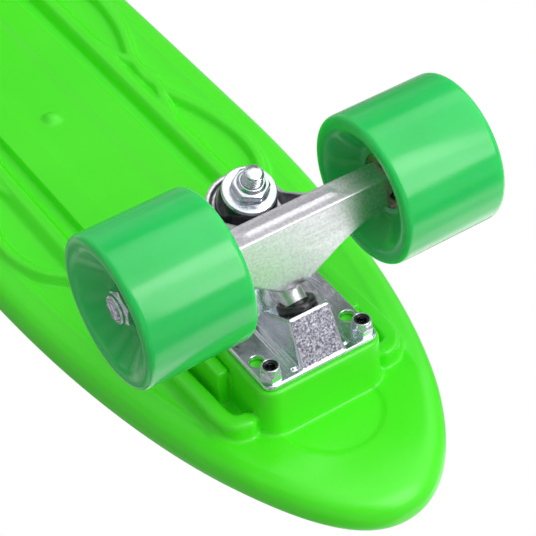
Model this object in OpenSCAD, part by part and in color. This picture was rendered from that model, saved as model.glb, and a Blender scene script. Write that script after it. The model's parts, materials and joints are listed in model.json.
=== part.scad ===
// Small moulded cruiser skateboard: a ribbed plastic deck, two cast trucks and four soft wheels.
// +X points to the nose, +Y to the rider's left with the wheels down, +Z up. The origin is on the
// floor below the middle of the board. Sizes are in millimetres.

/* [Deck] */
// Overall length, nose tip to tail tip
deck_l = 570; // [540:5:690]
// Overall width of the deck
deck_w = 149; // [140:1:165]
// Thickness of the deck's skin
skin_t = 5.5; // [4.5:0.5:8]
// Height that the rim stands above the deck's flat top
rim_rise = 6.5; // [3:0.5:9]
// Width of the rim, measured across the deck
rim_w = 9; // [6:0.5:12]
// Thickness of the rim
rim_t = 9; // [7.5:0.5:12]
// Distance from the front axle to the nose tip
nose_overhang = 74; // [66:1:95]
// Distance between the two axles
wheelbase = 384; // [350:2:460]
// Height that the tail's tip stands above the flat of the deck
kick_rise = 24; // [12:1:35]
// Length of the tail that curves up
kick_l = 80; // [60:2:85]
// Height that the nose's tip stands above the flat of the deck
nose_rise = 5; // [0:1:12]
// Length of the nose that curves up
nose_rise_l = 48; // [30:1:50]
// Height of the moulded block that each truck is bolted to
riser_h = 22.5; // [15:0.5:30]
// Rounding of the block's upright corners
riser_r = 6; // [2:0.5:8]
// Margin of the block around the baseplate
riser_margin = 1.5; // [0.5:0.5:3]
// Distance from the block's side out to the long groove between the ribs
groove_step = 0.5; // [0:0.5:3]
// Width of the long groove
groove_w = 9; // [7:0.5:12]
// Width of a long rib
rib_w = 4.5; // [3:0.5:6]
// Height of a long rib below the skin
rib_h = 5; // [3:0.5:8]
// Gap between the block and the stiff rib beside it
stiff_rib_gap = 1.3; // [1:0.1:2]
// Height of the stiff rib below the skin
stiff_rib_h = 17; // [10:0.5:20]
// Length of the stiff rib
stiff_rib_l = 90; // [60:1:120]

/* [Wheels] */
// Wheel diameter
wheel_d = 60; // [50:1:66]
// Wheel width
wheel_w = 44.8; // [40:0.4:48]
// Rounding of the wheel's tread edges
wheel_lip_r = 4; // [2:0.5:6]
// Thickness of the tread around the wheel's dished sides
wheel_rim_t = 6; // [5:0.5:9]
// Width of the wheel's core between its two bearings
core_gap = 10; // [8:0.2:12]

/* [Bearings] */
// Bearing bore
bearing_bore = 8; // [7:0.5:9]
// Bearing outer diameter
bearing_od = 22; // [20:0.5:26.5]
// Bearing width
bearing_w = 7; // [6:0.5:8]
// Ball diameter
ball_d = 3.97; // [3.2:0.01:4.2]
// Balls in each bearing
ball_count = 7; // [6:1:8]

/* [Truck] */
// Length of the hanger's cast bar
hanger_l = 82.6; // [76:0.2:90]
// Distance from the axle's centre to the deck's mounting face
truck_h = 55.5; // [52:0.5:67]
// Baseplate thickness
plate_t = 2.5; // [2:0.1:4]
// Margin of the baseplate beyond its bolts, at each side
plate_side = 4.85; // [4.6:0.05:8]
// Margin of the baseplate beyond its bolts, at each end
plate_margin = 5.2; // [4.8:0.1:8]
// Corner radius of the baseplate
plate_r = 4; // [1:0.5:6]
// Spacing of the bolts across the board
bolt_across = 41.3; // [38:0.1:44]
// Longer spacing of the bolts along the board, the one in use
bolt_long = 63.5; // [62:0.1:68]
// Shorter spacing of the bolts along the board
bolt_short = 53.9; // [50:0.1:56]
// Distance from the axle to the bolts nearest the end of the board
bolt_x = 15.7; // [14:0.1:18]
// Diameter of a deck bolt
bolt_d = 5; // [4:0.1:5.5]
// Lean of the kingpin from upright, in degrees
kingpin_tilt = 19; // [12:1:22]
// Kingpin diameter
kingpin_d = 8; // [7:0.1:9]
// Distance from the axle back to the kingpin, at the baseplate's face
kingpin_x = 43.9; // [42:0.1:46]
// Length of the kingpin below the baseplate's face
kingpin_l = 67.2; // [66:0.1:72]
// Outer diameter of the hanger's ring
ring_d = 30.8; // [29:0.1:34]
// Thickness of the floor of the hanger's ring
ring_t = 4; // [3:0.5:5]
// Diameter of the bushings
bushing_d = 24; // [22:0.1:25]
// Height of the road side bushing
bushing_road_h = 11; // [9:0.1:12]
// Height of the board side bushing
bushing_board_h = 14; // [12:0.1:16]
// Thickness of the kingpin's cup washers
cup_washer_t = 2.1; // [1.5:0.1:2.5]
// Distance from the axle to the pivot's centre, towards the end of the board
pivot_x = 3.5; // [2:0.1:5]
// Distance from the baseplate's road face down to the pivot's centre
pivot_drop = 15; // [13:0.5:16]
// Radius of the hanger's pivot nose
pivot_r = 5; // [4:0.1:5.4]

/* [Fits] */
// Running clearance of the pivot nose in its cup, on the radius
pivot_gap = 0.08; // [0.03:0.01:0.1]
// Running clearance of the balls in their races, on the radius
race_gap = 0.03; // [0.02:0.01:0.05]
// Clearance of a bolt in its hole, on the radius
bolt_gap = 0.15; // [0.1:0.05:0.5]

/* [Hidden] */
SIDES = ["left", "right"];
$fn = 96;

// Levels
axle_z = wheel_d / 2;
mount_z = axle_z + truck_h;             // the deck's face that the baseplate lies on
skin_z = mount_z + riser_h;             // underside of the deck's skin
top_z = skin_z + skin_t;                // flat top of the deck
rim_top_z = top_z + rim_rise;
rim_z = rim_top_z - rim_t;
face_h = truck_h - plate_t;             // baseplate's road face, above the axle
pivot_h = face_h - pivot_drop;

// Places along the board
nose_x = deck_l / 2;
front_x = nose_x - nose_overhang;
rear_x = front_x - wheelbase;

// Outline of the deck: two superellipse halves that meet at the widest point
nose_half_l = 221;
wide_x = nose_x - nose_half_l;
tail_half_l = deck_l - nose_half_l;
nose_power = [2, 2.1];
tail_power = [4.2, 3.4];
outline_steps = 36;
skin_inset = 2.5;
boss_x = front_x - 190;
boss_r = 5;
boss_h = 2.5;

// Baseplate, in the truck's own frame with the axle's centre at its origin
bolt_far_x = bolt_x - bolt_long;
bolt_second_x = bolt_far_x + bolt_short;
plate_x1 = bolt_x + plate_margin;
plate_x0 = bolt_far_x - plate_margin;
plate_w = bolt_across + 2 * plate_side;
spare_hole_r = 2.9;
foot_half_w = 12.5;
foot_t = 0.8;

// Riser block and the ribs beside it, from the centre line
riser_half_w = plate_w / 2 + riser_margin;
groove_y = riser_half_w + groove_step;
outer_rib_y = groove_y + groove_w;
stiff_rib_y = riser_half_w + stiff_rib_gap;
stiff_rib_x = -5;

// Pivot cup, and the tower that holds it, measured from the pivot's centre
cup_wall = 2;
cup_r = pivot_r + cup_wall;
cup_depth = 8;
cup_mouth = 2.5;
tower_half_w = cup_r + 2.3;
tower_lip = [7.7, -4];
tower_back = [-10.5, 5.8];
tower_heel_x = -16.5;
tower_foot_inset = 0.6;

// Places along the kingpin, from the baseplate's face towards the road
kp_nut_h = 6.5;
kp_nut_af = 13;
kp_end_length = 5.2;
kp_nut_s = kingpin_l - kp_end_length - kp_nut_h;
kp_road_washer_s = kp_nut_s - cup_washer_t;
kp_ring_floor_s = kp_road_washer_s - bushing_road_h;
kp_ring_back_s = kp_ring_floor_s - ring_t;
kp_board_washer_s = kp_ring_back_s - bushing_board_h - cup_washer_t;
kp_head_s = 11;
kp_head_t = 5;
kp_chamfer = 2;
kp_flange_t = 1;
kp_hole_gap = 0.2;
boss_slope = 3.5;
ring_lip_h = 2;
ring_hole_r = 8;
cup_washer_r = bushing_d / 2 - 1.4;
cup_lip_w = 1.2;
cup_seat = 0.6;
ring_mid_s = (kp_ring_floor_s + kp_ring_back_s) / 2;
ring_mid_x = -kingpin_x + ring_mid_s * sin(kingpin_tilt);
ring_mid_h = face_h - ring_mid_s * cos(kingpin_tilt);

// Steering axis: from the ring's centre up to the pivot
steer_angle = atan2(pivot_h - ring_mid_h, pivot_x - ring_mid_x);

// Bushings
nub_h = 1.4;
nub_r = ring_hole_r - 0.3;
bushing_bore_r = kingpin_d / 2 + kp_hole_gap;
bushing_lip_r = cup_washer_r - cup_lip_w - 0.8;
bushing_edge = 1.2;
bushing_round = 2;
bushing_bulge = 0.3;

// Axle
axle_r = bearing_bore / 2;

// Hanger bar and the webs that carry its ring
bar_x0 = -axle_r - 0.5;
bar_x1 = axle_r + 2;
bar_road_h = -axle_r - 2;
bar_end_h = axle_r + 4;
bar_shoulder_y = 25;
bar_shoulder_h = 12;
bar_crown_y = 6;
bar_crown_h = 28;
web_half_w = ring_d / 2 + 2.6;
web_wall = 1.8;
web_h = 22;
stalk_r = pivot_r + 1.5;
stalk_l = cup_depth + pivot_r + 4;
stalk_half_w = 11;
stalk_foot_h = 10;
stalk_foot_t = 12;
pocket_depth = 30;
pocket_reach = 16;
pocket_end_r = 9;

// Deck bolts and their lock nuts
bolt_head_r = 4.8;
bolt_head_h = 2.6;
nut_af = 8;
nut_hex_h = 4;
nut_collar_h = 2.4;
nut_collar_r = 3.7;
insert_r = 2.95;
insert_h = 1.6;
insert_inset = 0.2;
bolt_end_inset = 1;
bolt_head_inset = 0.4;
cross_slot = [5, 1.1, 3];
deck_top_h = truck_h + riser_h + skin_t;
nut_end_h = face_h - nut_hex_h - nut_collar_h;

// Axle stack, measured from the centre line along the axle
washer_t = 1;
in_bearing_y = hanger_l / 2 + washer_t;
out_bearing_y = in_bearing_y + bearing_w + core_gap;
out_washer_y = out_bearing_y + bearing_w;
axle_nut_y = out_washer_y + washer_t;
axle_nut_h = 6.2;
axle_nut_af = bearing_bore + 5;
axle_collar_h = 1.6;
axle_end_y = axle_nut_y + axle_nut_h + 1;
wheel_y = in_bearing_y + bearing_w + core_gap / 2;

// Bearing sections
pitch_r = (bearing_bore + bearing_od) / 4;
shoulder_gap = 0.38 * ball_d;
inner_shoulder_r = pitch_r - shoulder_gap;
outer_shoulder_r = pitch_r + shoulder_gap;
washer_r = inner_shoulder_r;
shield_t = 0.35;
shield_inset = 0.25;
shield_gap = 0.35;
cage_t = 1.2;
cage_floor = 0.5;
cage_gap = 0.05;
cage_open = 0.6;

// Wheel section
wheel_dish_r = wheel_d / 2 - wheel_rim_t;
lip_r = min(wheel_lip_r, wheel_rim_t - 1);
seat_shoulder = 1.5;
hub_lip_t = 0.4;
hub_lip_w = 2;
hub_face_w = 3;
hub_face_rise = 0.9;
dish_edge = 1;
dish_edge_drop = 0.25;

function outline_y(x, half_w) =
    let (nose = x > wide_x, len = nose ? nose_half_l : tail_half_l,
         p = nose ? nose_power : tail_power,
         q = min(1, abs(x - wide_x) / len))
    half_w * pow(max(0, 1 - pow(q, p[0])), 1 / p[1]);

// Points of one long side, closer together near the two tips
function outline_x(i) = nose_x * cos(180 * i / outline_steps);
function side_points(half_w, inset) = [
    for (i = [0 : outline_steps])
        let (x = outline_x(i)) [x * (1 - inset / nose_x), outline_y(x, half_w)]];

module plan(inset) {
    half_w = deck_w / 2 - inset;
    left = side_points(half_w, inset);
    right = [for (i = [outline_steps - 1 : -1 : 1]) [left[i][0], -left[i][1]]];
    polygon(concat(left, right));
}

// Height that the kicked ends add to any level of the deck
function lift(x) =
    x < -nose_x + kick_l ? kick_rise * pow((-nose_x + kick_l - x) / kick_l, 2)
    : x > nose_x - nose_rise_l ? nose_rise * pow((x - nose_x + nose_rise_l) / nose_rise_l, 2)
    : 0;

// A layer of the deck between two levels that follows the kicked ends
module band(low, high) {
    steps = 8;
    reach = nose_x + 1;
    tail = [for (i = [0 : steps]) -reach + (kick_l + 1) * i / steps];
    nose = [for (i = [0 : steps]) reach - (nose_rise_l + 1) * (steps - i) / steps];
    xs = concat(tail, nose);
    n = len(xs);
    lower = [for (x = xs) [x, low + lift(x)]];
    upper = [for (i = [n - 1 : -1 : 0]) [xs[i], high + lift(xs[i])]];
    translate([0, deck_w, 0]) rotate([90, 0, 0]) linear_extrude(2 * deck_w)
        polygon(concat(lower, upper));
}

module rounded_rect(x0, x1, y0, y1, r) {
    for (x = [x0 + r, x1 - r], y = [y0 + r, y1 - r]) translate([x, y]) circle(r);
    translate([x0 + r, y0]) square([x1 - x0 - 2 * r, y1 - y0]);
    translate([x0, y0 + r]) square([x1 - x0, y1 - y0 - 2 * r]);
}

// Puts a truck's own frame at the front or the rear of the board
module at_truck(end) {
    if (end == "front") translate([front_x, 0, axle_z]) children();
    else translate([rear_x, 0, axle_z]) mirror([1, 0, 0]) children();
}

// Puts -Z along the kingpin, towards the road, at a distance from the baseplate's face
module on_kingpin(s) {
    translate([-kingpin_x, 0, face_h]) rotate([0, -kingpin_tilt, 0]) translate([0, 0, -s])
        children();
}

// Puts +Z along the steering axis, from the ring to the pivot, with the pivot at its origin
module on_steering_axis() {
    translate([pivot_x, 0, pivot_h]) rotate([0, 90 - steer_angle, 0]) children();
}

// Puts +Z along the axle, outwards on one side
module along_axle(side, y) {
    rotate([side == "left" ? -90 : 90, 0, 0]) translate([0, 0, y]) children();
}

module at_bolts() {
    for (x = [bolt_x, bolt_far_x], y = [-bolt_across / 2, bolt_across / 2])
        translate([x, y, 0]) children();
}

module hex(af, h) {
    cylinder(d = af / cos(30), h = h, $fn = 6);
}

// ---- deck ----

// Height above the flat top that is taller than the kicked tail
module tall(low) {
    translate([0, 0, low]) linear_extrude(rim_top_z + kick_rise - low) children();
}

// A rib on each side of the centre line, from y outwards and up into the skin
module rib_pair(x0, x1, y, low) {
    tall(low) for (s = [-1, 1]) translate([x0, s > 0 ? y : -y - rib_w])
        square([x1 - x0, rib_w]);
}

// What holds for both trucks is drawn in the truck's own frame
module riser_block() {
    tall(truck_h) rounded_rect(plate_x0 - riser_margin, plate_x1 + riser_margin,
        -riser_half_w, riser_half_w, riser_r);
}

module stiff_ribs() {
    rib_pair(stiff_rib_x - stiff_rib_l, stiff_rib_x, stiff_rib_y, truck_h + riser_h - stiff_rib_h);
}

// Short walls that close the long grooves at the block's front corners
module groove_ends() {
    tall(truck_h + riser_h - rib_h) for (s = [-1, 1])
        translate([plate_x1 - rib_w, s > 0 ? riser_half_w - 1 : -outer_rib_y - 1])
            square([rib_w, outer_rib_y + 2 - riser_half_w]);
}

module long_ribs() {
    low = skin_z - rib_h;
    rib_pair(rear_x, front_x, groove_y - rib_w, low);
    rib_pair(rear_x - plate_x1, front_x + plate_x1, outer_rib_y, low);
}

module centre_boss() {
    translate([boss_x, 0, skin_z - boss_h]) cylinder(r1 = boss_r - 2, r2 = boss_r, h = boss_h + 1);
}

// The space inside the outline and below the middle of the skin
module under_skin() {
    intersection() {
        linear_extrude(rim_top_z + kick_rise) plan(rim_w / 2);
        band(0, skin_z + skin_t / 2);
    }
}

module skin() {
    intersection() {
        tall(skin_z) plan(skin_inset);
        band(skin_z, top_z);
    }
}

module rim() {
    intersection() {
        translate([0, 0, rim_z]) linear_extrude(rim_t + kick_rise + nose_rise) difference() {
            plan(0);
            plan(rim_w);
        }
        band(rim_z, rim_top_z);
    }
}

module deck_bolt_hole() {
    cylinder(r = bolt_d / 2 + bolt_gap, h = deck_top_h);
    translate([0, 0, deck_top_h - bolt_head_h])
        cylinder(r1 = bolt_d / 2 + bolt_gap, r2 = bolt_head_r + bolt_gap, h = bolt_head_h);
    translate([0, 0, deck_top_h - bolt_gap / 10])
        cylinder(r = bolt_head_r + bolt_gap, h = rim_rise + kick_rise);
}

module deck() {
    color("limegreen") difference() {
        union() {
            skin();
            rim();
            intersection() {
                union() {
                    long_ribs();
                    centre_boss();
                    for (end = ["front", "rear"]) at_truck(end) {
                        riser_block();
                        stiff_ribs();
                        groove_ends();
                    }
                }
                under_skin();
            }
        }
        for (end = ["front", "rear"]) at_truck(end) at_bolts() deck_bolt_hole();
    }
}

// ---- truck: fixed pieces ----

module tower() {
    foot_x = plate_x1 - tower_foot_inset;
    heel_x = pivot_x + tower_heel_x;
    root_h = face_h + plate_t / 2;
    translate([0, tower_half_w, 0]) rotate([90, 0, 0]) linear_extrude(2 * tower_half_w)
        polygon([[foot_x, root_h], [foot_x, face_h], [pivot_x, pivot_h] + tower_lip,
            [pivot_x, pivot_h] + tower_back, [heel_x, face_h], [heel_x, root_h]]);
}

// The raised seat around the kingpin, cut off level inside the plate
module kingpin_boss() {
    difference() {
        on_kingpin(kp_board_washer_s)
            cylinder(r1 = cup_washer_r, r2 = cup_washer_r + boss_slope, h = kp_board_washer_s + 8);
        translate([plate_x0 - plate_w, -plate_w, face_h + plate_t / 2])
            cube([3 * plate_w, 2 * plate_w, 2 * plate_w]);
    }
}

module baseplate() {
    color("silver") difference() {
        union() {
            translate([0, 0, face_h]) linear_extrude(plate_t)
                rounded_rect(plate_x0, plate_x1, -plate_w / 2, plate_w / 2, plate_r);
            translate([bolt_far_x, -foot_half_w, face_h - foot_t])
                cube([bolt_long, 2 * foot_half_w, foot_t + plate_t / 2]);
            tower();
            kingpin_boss();
        }
        on_steering_axis() translate([0, 0, -30]) cylinder(r = cup_r, h = 30 + cup_depth);
        on_kingpin(kingpin_l) cylinder(d = kingpin_d, h = 2 * kingpin_l);
        on_kingpin(kp_head_s) cylinder(r = kp_nut_af / 2 / cos(30) + bolt_gap, h = kingpin_l);
        translate([0, 0, face_h - plate_t]) {
            at_bolts() cylinder(r = bolt_d / 2 + bolt_gap, h = 3 * plate_t);
            for (y = [-bolt_across / 2, bolt_across / 2]) translate([bolt_second_x, y, 0])
                cylinder(r = spare_hole_r, h = 3 * plate_t);
        }
    }
}

module pivot_cup() {
    cavity_r = pivot_r + pivot_gap;
    color("#181818") on_steering_axis() difference() {
        translate([0, 0, -cup_mouth]) cylinder(r = cup_r, h = cup_mouth + cup_depth);
        translate([0, 0, -cup_mouth - 1]) cylinder(r = cavity_r, h = cup_mouth + 1);
        sphere(cavity_r);
    }
}

module kingpin() {
    color("lightsteelblue") {
        on_kingpin(kingpin_l) difference() {
            cylinder(d = kingpin_d, h = kingpin_l - kp_head_s + 1);
            difference() {
                translate([0, 0, -kp_chamfer / 2]) cylinder(d = kingpin_d + 2, h = kp_chamfer);
                translate([0, 0, -kp_chamfer / 2])
                    cylinder(r1 = kingpin_d / 2 - kp_chamfer, r2 = kingpin_d / 2, h = kp_chamfer);
            }
        }
        on_kingpin(kp_head_s) hex(kp_nut_af, kp_head_t);
    }
}

module kingpin_nut() {
    color("lightsteelblue") difference() {
        union() {
            on_kingpin(kp_nut_s + kp_nut_h) intersection() {
                hex(kp_nut_af, kp_nut_h);
                cylinder(r1 = kp_nut_af / 2, r2 = kp_nut_af / 2 + kp_nut_h, h = kp_nut_h);
            }
            on_kingpin(kp_nut_s + kp_flange_t) cylinder(d = kp_nut_af, h = kp_flange_t);
        }
        on_kingpin(kingpin_l) cylinder(d = kingpin_d, h = 20);
    }
}

// A washer with a shallow cup for a bushing's end, on its board side or its road side
module cup_washer(s, cup_on_board_side) {
    color("silver") on_kingpin(s + cup_washer_t) difference() {
        cylinder(r = cup_washer_r, h = cup_washer_t);
        translate([0, 0, -1]) cylinder(r = kingpin_d / 2 + kp_hole_gap, h = cup_washer_t + 2);
        translate([0, 0, cup_on_board_side ? cup_washer_t - cup_seat : cup_seat - 1])
            cylinder(r = cup_washer_r - cup_lip_w, h = 1);
    }
}

module road_cup_washer() { cup_washer(kp_road_washer_s, true); }
module board_cup_washer() { cup_washer(kp_board_washer_s, false); }

module road_bushing() {
    r = bushing_d / 2;
    top = bushing_road_h + cup_seat;
    color("#141414") on_kingpin(kp_road_washer_s + cup_seat) rotate_extrude()
        polygon([[bushing_bore_r, 0], [bushing_lip_r, 0], [r - bushing_edge, bushing_round],
            [r, top - bushing_round], [r - bushing_edge, top], [nub_r, top], [nub_r, top + nub_h],
            [bushing_bore_r, top + nub_h]]);
}

module board_bushing() {
    r = bushing_d / 2;
    base = nub_h;
    top = nub_h + bushing_board_h;
    color("#141414") on_kingpin(kp_ring_back_s + nub_h) rotate_extrude()
        polygon([[bushing_bore_r, 0], [nub_r, 0], [nub_r, base], [r - bushing_edge, base],
            [r, base + bushing_round], [r + bushing_bulge, (base + top) / 2],
            [r, top - bushing_round], [bushing_lip_r, top], [bushing_bore_r, top]]);
}

module deck_bolts() {
    end_h = nut_end_h + bolt_end_inset;
    color("lightsteelblue") at_bolts() {
        translate([0, 0, end_h]) cylinder(d = bolt_d, h = deck_top_h - end_h - bolt_head_inset);
        difference() {
            translate([0, 0, deck_top_h - bolt_head_h])
                cylinder(r1 = bolt_d / 2, r2 = bolt_head_r, h = bolt_head_h);
            for (a = [0, 90]) translate([0, 0, deck_top_h]) rotate(a)
                cube(cross_slot, center = true);
        }
    }
}

module deck_nuts() {
    color("lightsteelblue") at_bolts() difference() {
        union() {
            translate([0, 0, face_h - nut_hex_h]) hex(nut_af, nut_hex_h);
            translate([0, 0, nut_end_h]) cylinder(r = nut_collar_r, h = nut_collar_h + insert_inset);
        }
        translate([0, 0, nut_end_h - 1]) {
            cylinder(d = bolt_d, h = nut_hex_h + nut_collar_h + 2);
            cylinder(r = insert_r, h = 1 + insert_inset + insert_h);
        }
    }
}

module nut_inserts() {
    color("#101010") at_bolts() translate([0, 0, nut_end_h + insert_inset]) difference() {
        cylinder(r = insert_r, h = insert_h);
        translate([0, 0, -1]) cylinder(d = bolt_d, h = insert_h + 2);
    }
}

// ---- truck: hanger and what turns with it ----

module hanger_shell() {
    hull() {
        on_kingpin(kp_ring_floor_s + ring_lip_h)
            cylinder(d = ring_d, h = ring_t + ring_lip_h, $fn = 48);
        translate([bar_x0, -web_half_w, bar_road_h + 2]) cube([1, 2 * web_half_w, web_h]);
    }
    hull() {
        on_steering_axis() translate([0, 0, -stalk_l]) cylinder(r = stalk_r, h = 6, $fn = 32);
        translate([bar_x0, -stalk_half_w, stalk_foot_h])
            cube([bar_x1 - bar_x0, 2 * stalk_half_w, stalk_foot_t]);
    }
}

// The hollow behind the ring, open towards the road
module bushing_pocket() {
    pocket_r = ring_d / 2 - web_wall;
    reach_y = web_half_w - web_wall;
    hull() {
        on_kingpin(kp_ring_floor_s + pocket_depth) {
            cylinder(r = pocket_r, h = pocket_depth, $fn = 48);
            translate([pocket_reach, 0, 0])
                cylinder(r = pocket_end_r, h = pocket_depth - web_wall, $fn = 32);
        }
        translate([bar_x0 - 3, -reach_y, bar_road_h - 8]) cube([2, 2 * reach_y, 16]);
    }
}

module hanger() {
    bar_half = hanger_l / 2;
    color("gainsboro") difference() {
        union() {
            translate([bar_x0, 0, 0]) rotate([90, 0, 90]) linear_extrude(bar_x1 - bar_x0)
                polygon([[-bar_half, bar_road_h], [bar_half, bar_road_h], [bar_half, bar_end_h],
                    [bar_shoulder_y, bar_shoulder_h], [bar_crown_y, bar_crown_h],
                    [-bar_crown_y, bar_crown_h], [-bar_shoulder_y, bar_shoulder_h],
                    [-bar_half, bar_end_h]]);
            difference() {
                hanger_shell();
                bushing_pocket();
            }
            on_steering_axis() {
                translate([0, 0, -stalk_l + 3]) cylinder(r = pivot_r, h = stalk_l - 3);
                sphere(pivot_r);
            }
        }
        on_kingpin(kp_ring_floor_s + ring_t) cylinder(r = ring_hole_r, h = 3 * ring_t);
        rotate([90, 0, 0]) translate([0, 0, -bar_half - 1])
            cylinder(r = axle_r, h = 2 * bar_half + 2);
    }
}

module axle() {
    color("silver") rotate([90, 0, 0]) translate([0, 0, -axle_end_y])
        cylinder(r = axle_r, h = 2 * axle_end_y);
}

module axle_nuts() {
    color("silver") for (s = SIDES) along_axle(s, axle_nut_y) difference() {
        union() {
            hex(axle_nut_af, axle_nut_h - axle_collar_h);
            cylinder(d = axle_nut_af - 1.2, h = axle_nut_h);
        }
        translate([0, 0, -1]) cylinder(r = axle_r, h = axle_nut_h + 2);
    }
}

module axle_washers() {
    color("silver") for (s = SIDES, y = [hanger_l / 2, out_washer_y]) along_axle(s, y)
        difference() {
            cylinder(r = washer_r, h = washer_t);
            translate([0, 0, -1]) cylinder(r = axle_r, h = washer_t + 2);
        }
}

module race_groove() {
    rotate_extrude() translate([pitch_r, 0]) circle(ball_d / 2 + race_gap, $fn = 48);
}

module inner_races() {
    color("silver") for (s = SIDES, y = [in_bearing_y, out_bearing_y]) along_axle(s, y)
        difference() {
            cylinder(r = inner_shoulder_r, h = bearing_w);
            translate([0, 0, -1]) cylinder(r = axle_r, h = bearing_w + 2);
            translate([0, 0, bearing_w / 2]) race_groove();
        }
}

// ---- wheels ----

module at_bearings(side) {
    for (y = [in_bearing_y, out_bearing_y]) along_axle(side, y) children();
}

// Half of the wheel's section, from its middle plane outwards: radius, then distance
function wheel_half_section() =
    let (w = wheel_w / 2, bore_r = bearing_od / 2, seat = core_gap / 2 + bearing_w,
         dish_r = bore_r + hub_face_w, dish_z = seat + hub_face_rise,
         tread_r = wheel_d / 2 - lip_r)
    concat(
        [[bore_r - seat_shoulder, core_gap / 2], [bore_r, core_gap / 2], [bore_r, seat + hub_lip_t],
         [bore_r + hub_lip_w, seat + hub_lip_t]],
        [for (a = [0 : 15 : 90]) [wheel_dish_r - (wheel_dish_r - dish_r) * cos(a),
            dish_z + (w - dish_edge - dish_z) * pow(sin(a), 2)]],
        [[wheel_dish_r + dish_edge, w - dish_edge_drop]],
        [for (a = [90 : -15 : 0]) [tread_r + lip_r * cos(a), w - lip_r + lip_r * sin(a)]]);

module wheel(side) {
    half = wheel_half_section();
    n = len(half);
    other = [for (i = [n - 1 : -1 : 0]) [half[i][0], -half[i][1]]];
    color("mediumseagreen") along_axle(side, wheel_y) rotate_extrude()
        polygon(concat(half, other));
}

module outer_races(side) {
    color("silver") at_bearings(side) difference() {
        cylinder(r = bearing_od / 2, h = bearing_w);
        translate([0, 0, -1]) cylinder(r = outer_shoulder_r, h = bearing_w + 2);
        translate([0, 0, bearing_w / 2]) race_groove();
    }
}

module bearing_shields(side) {
    color("darkgray") at_bearings(side)
        for (z = [shield_inset, bearing_w - shield_inset - shield_t]) translate([0, 0, z])
            difference() {
                cylinder(r = outer_shoulder_r, h = shield_t);
                translate([0, 0, -1]) cylinder(r = inner_shoulder_r + shield_gap, h = shield_t + 2);
            }
}

module ball_ring(r) {
    for (i = [0 : ball_count - 1]) rotate(i * 360 / ball_count)
        translate([pitch_r, 0, bearing_w / 2]) sphere(r);
}

module balls(side) {
    color("white") at_bearings(side) ball_ring(ball_d / 2);
}

// Crown cages: a thin ring with a pocket for each ball, open on one side
module ball_cages(side) {
    pocket = ball_d + 2 * cage_gap;
    floor_z = (bearing_w - pocket) / 2;
    color("goldenrod") at_bearings(side) difference() {
        translate([0, 0, floor_z - cage_floor])
            cylinder(r = pitch_r + cage_t / 2, h = cage_floor + pocket - cage_open);
        cylinder(r = pitch_r - cage_t / 2, h = bearing_w);
        for (i = [0 : ball_count - 1]) rotate(i * 360 / ball_count)
            translate([pitch_r - cage_t, -pocket / 2, floor_z])
                cube([2 * cage_t, pocket, pocket]);
    }
}

deck();
for (end = ["front", "rear"]) at_truck(end) {
    baseplate();
    pivot_cup();
    kingpin();
    kingpin_nut();
    road_cup_washer();
    board_cup_washer();
    road_bushing();
    board_bushing();
    deck_bolts();
    deck_nuts();
    nut_inserts();
    hanger();
    axle();
    axle_nuts();
    axle_washers();
    inner_races();
    for (side = SIDES) {
        wheel(side);
        outer_races(side);
        bearing_shields(side);
        balls(side);
        ball_cages(side);
    }
}
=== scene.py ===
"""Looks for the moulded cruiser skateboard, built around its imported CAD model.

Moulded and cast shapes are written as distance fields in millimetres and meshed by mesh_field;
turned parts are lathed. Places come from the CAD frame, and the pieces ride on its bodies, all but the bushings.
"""
import json
import math

import bpy
import numpy as np
from mathutils import Matrix, Vector


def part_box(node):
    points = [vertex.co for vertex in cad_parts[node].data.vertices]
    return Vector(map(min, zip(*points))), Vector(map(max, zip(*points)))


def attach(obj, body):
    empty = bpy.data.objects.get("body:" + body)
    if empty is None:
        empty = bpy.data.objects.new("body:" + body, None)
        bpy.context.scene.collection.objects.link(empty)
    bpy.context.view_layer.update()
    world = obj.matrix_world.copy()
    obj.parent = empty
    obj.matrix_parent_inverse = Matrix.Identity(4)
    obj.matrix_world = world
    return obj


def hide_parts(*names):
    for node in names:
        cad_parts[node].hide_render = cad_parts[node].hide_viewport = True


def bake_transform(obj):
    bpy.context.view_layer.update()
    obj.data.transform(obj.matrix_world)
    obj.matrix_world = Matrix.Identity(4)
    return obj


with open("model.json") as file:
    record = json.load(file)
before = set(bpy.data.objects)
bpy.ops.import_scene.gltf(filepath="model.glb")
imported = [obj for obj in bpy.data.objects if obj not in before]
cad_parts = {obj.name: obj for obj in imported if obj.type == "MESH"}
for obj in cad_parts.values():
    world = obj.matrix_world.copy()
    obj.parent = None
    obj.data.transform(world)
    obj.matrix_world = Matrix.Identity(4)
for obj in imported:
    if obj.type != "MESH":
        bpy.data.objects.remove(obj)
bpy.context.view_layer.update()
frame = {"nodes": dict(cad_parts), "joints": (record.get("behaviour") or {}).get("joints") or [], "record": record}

MM = 0.001
ENDS = ("front", "rear")
SIDES = ("left", "right")

# ---------------------------------------------------------------- places taken from the frame

joints = {j["name"]: j for j in frame["joints"]}


def box_mm(node):
    low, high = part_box(node)
    return np.array(low) / MM, np.array(high) / MM


AXLE_X = {end: 1000 * joints[f"{end}_left_spin"]["pos_m"][0] for end in ENDS}
AXLE_Z = 1000 * joints["front_left_spin"]["pos_m"][2]
OUTWARD = {"front": 1, "rear": -1}
MID_X = (AXLE_X["front"] + AXLE_X["rear"]) / 2
HALF_BASE = (AXLE_X["front"] - AXLE_X["rear"]) / 2
MOUNT_Z = box_mm("front_baseplate")[1][2]
DECK_LOW, DECK_HIGH = box_mm("deck")
DECK_HALF_W = DECK_HIGH[1]
NOSE_X = DECK_HIGH[0]
TOP_Z = 1000 * frame["record"]["mounts"][0]["pos_m"][2]
RIM_RISE, SKIN_T = 6.5, 5.5
SKIN_Z = TOP_Z - SKIN_T

# ---------------------------------------------------------------- distance fields and meshing


def smooth_min(a, b, k):
    h = np.maximum(k - np.abs(a - b), 0) / k
    return np.minimum(a, b) - h * h * k / 4


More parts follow.
